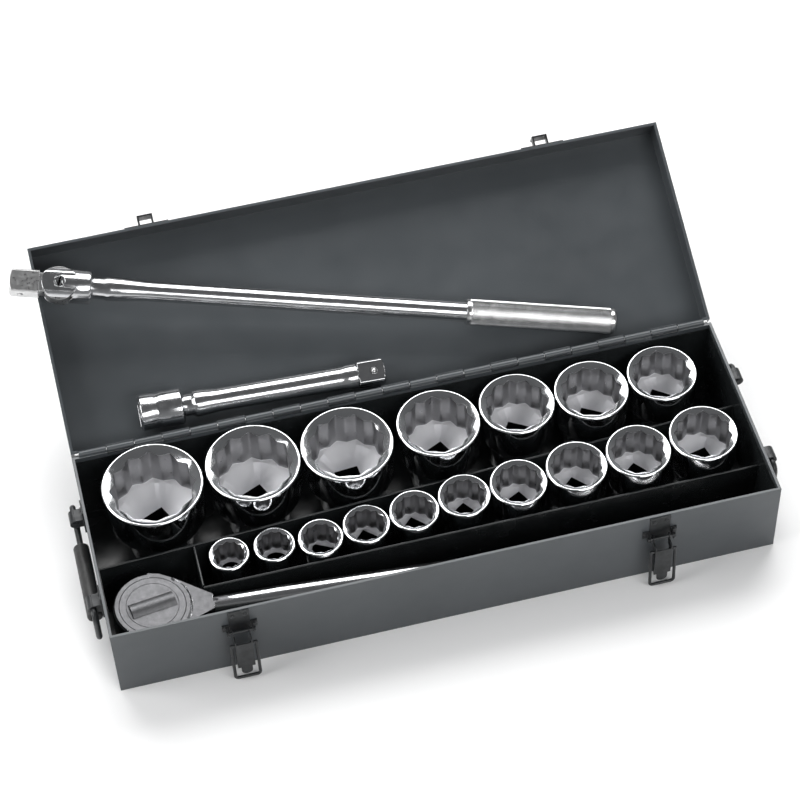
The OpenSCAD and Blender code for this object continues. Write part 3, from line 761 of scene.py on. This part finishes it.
def lathe(name, outline, steps):
    """A closed turned mesh along X from (x, radius) pairs; a radius of zero closes an end."""
    points, faces = [], []
    rings = []
    for x, radius in outline:
        if radius == 0:
            rings.append([len(points)])
            points.append((x, 0, 0))
        else:
            rings.append(list(range(len(points), len(points) + steps)))
            turns = [2 * math.pi * i / steps for i in range(steps)]
            points += [(x, radius * math.cos(turn), radius * math.sin(turn)) for turn in turns]
    for a, b in zip(rings, rings[1:]):
        for i in range(steps):
            j = (i + 1) % steps
            if len(a) == len(b) == 1:
                continue
            if len(a) == 1:
                faces.append((a[0], b[i], b[j]))
            elif len(b) == 1:
                faces.append((a[i], b[0], a[j]))
            else:
                faces.append((a[i], b[i], b[j], a[j]))
    mesh = mesh_from(name, points, faces)
    work = bmesh.new()
    work.from_mesh(mesh)
    bmesh.ops.remove_doubles(work, verts=work.verts, dist=1e-7)
    bmesh.ops.recalc_face_normals(work, faces=work.faces)
    work.to_mesh(mesh)
    work.free()
    return mesh


def tool_axes(origin, towards, up):
    """The frame of a tool: X along its handle, Z nearest to up."""
    x_way = (towards - origin).normalized()
    y_way = up.cross(x_way).normalized()
    turn = Matrix((x_way, y_way, x_way.cross(y_way))).transposed()
    return Matrix.Translation(origin) @ turn.to_4x4()


knurl_finish = steel_finish("knurled_chrome", 0.72, 0.14, 0.26)
knurl_graph = knurl_tree()


def knurled_grip(name, node, body, origin, up):
    axes_here = tool_axes(origin, node_middle(node), up)
    inverse = axes_here.inverted()
    reach = [(inverse @ corner.co).x for corner in frame["nodes"][node].data.vertices]
    start = min(reach)
    core = grip_radius - knurl_height
    outline = [(0.0, bore_radius), (0.0, grip_radius - 0.001), (0.0004, grip_radius - 0.0003),
               (0.0012, grip_radius), (0.003, grip_radius), (0.0034, core), (grip_length - plain_end, core),
               (grip_length - 0.0042, grip_radius), (grip_length - 0.003, grip_radius),
               (grip_length - 0.0016, grip_radius - 0.0006), (grip_length - 0.0006, grip_radius - 0.0018),
               (grip_length, grip_radius - 0.0036), (grip_length, 0),
               (bore_depth, 0), (bore_depth, bore_radius), (0.0, bore_radius)]
    sleeve = lathe(name, outline, sleeve_steps)
    sleeve.shade_smooth()
    sleeve.set_sharp_from_angle(angle=math.radians(30))
    sleeve.transform(Matrix.Translation((-plain_end, 0, 0)))
    rows = int((grip_length - 2 * plain_end) / knurl_pitch)
    piece = grown(name, sleeve, knurl_graph, {
        "Core Radius": core, "Knurl Height": knurl_height, "Around": knurl_around, "Rows": rows,
        "Row Pitch": knurl_pitch, "Finish": knurl_finish})
    piece.data.transform(axes_here @ Matrix.Translation((start + plain_end, 0, 0)))
    ride_in(piece, body, "knurled_chrome", node)


def joint_place(name):
    return Vector(joint_named(name)["pos_m"])


def joint_way(name):
    return Vector(joint_named(name)["axis"]).normalized()


knurled_grip("ratchet_grip_knurled", "ratchet_grip", "ratchet",
             joint_place("ratchet_drive"), Vector((0, 0, 1)))
knurled_grip("bar_grip_knurled", "bar_grip", "breaker_bar",
             joint_place("bar_head_swing"), keeper_out)


# ---- Breaker bar ----
# A long forged bar with a fork at one end. A square drive swings in the fork on a
# riveted pin, with a sprung ball in its face. Polished and chromed all over.
ride_in(hand_polished("breaker_bar_forging", "bar_shank", 0.0005), "breaker_bar", "tool_chrome", "bar_shank")
ride_in(eased("swing_drive", "bar_drive_head", 0.0003, inner_steel), "bar_drive_head", "satin_chrome",
        "bar_drive_head")
ride_in(hand_polished("fork_pin", "bar_pin", 0.0004), "breaker_bar", "tool_chrome", "bar_pin")


# ---- Extension ----
# A short chromed extension, with a square socket in its wide end and a square
# drive with a sprung ball at the other.
ride_in(hand_polished("extension_forging", "extension_bar", 0.0004), "extension", "tool_chrome",
        "extension_bar")


# ---- Ball springs ----
# A few turns of hard wire push each detent ball out of its hole.
def spring_tree():
    graph, given = new_tree("coil_spring", [
        ("Coil Radius", "NodeSocketFloat"), ("Wire Radius", "NodeSocketFloat"), ("Turns", "NodeSocketFloat"),
        ("Length", "NodeSocketFloat"), ("Finish", "NodeSocketMaterial")])
    coil_radius = given["Coil Radius"]
    line = graph.add("GeometryNodeCurveSpiral", Resolution=20, Rotations=given["Turns"],
                     Start_Radius=coil_radius, End_Radius=coil_radius, Height=given["Length"])
    section = graph.add("GeometryNodeCurvePrimitiveCircle", Resolution=8, Radius=given["Wire Radius"])
    coil = graph.add("GeometryNodeCurveToMesh", Curve=line.outputs[0], Profile_Curve=section.outputs[0],
                     Fill_Caps=True)
    smooth = graph.add("GeometryNodeSetShadeSmooth", Geometry=coil.outputs[0])
    close_tree(graph, smooth.outputs[0], given["Finish"])
    return graph


spring_length = 0.0014
spring_graph = spring_tree()
spring_wire = steel_finish("spring_wire", 0.4, 0.25, 0.4)
for node, body, joint in (("ratchet_ball_spring", "ratchet_drive", "ratchet_ball_press"),
                          ("bar_ball_spring", "bar_drive_head", "bar_ball_press"),
                          ("extension_ball_spring", "extension", "extension_ball_press")):
    coil = grown(node + "_coil", mesh_from(node, [(0, 0, 0)], []), spring_graph, {
        "Coil Radius": 0.0016, "Wire Radius": 0.0002, "Turns": 3.5,
        "Length": spring_length, "Finish": spring_wire})
    stand = joint_way(joint).to_track_quat("Z", "Y").to_matrix().to_4x4()
    middle = Matrix.Translation(node_middle(node))
    coil.data.transform(middle @ stand @ Matrix.Translation((0, 0, -spring_length / 2)))
    ride_in(coil, body, "spring_steel", node)
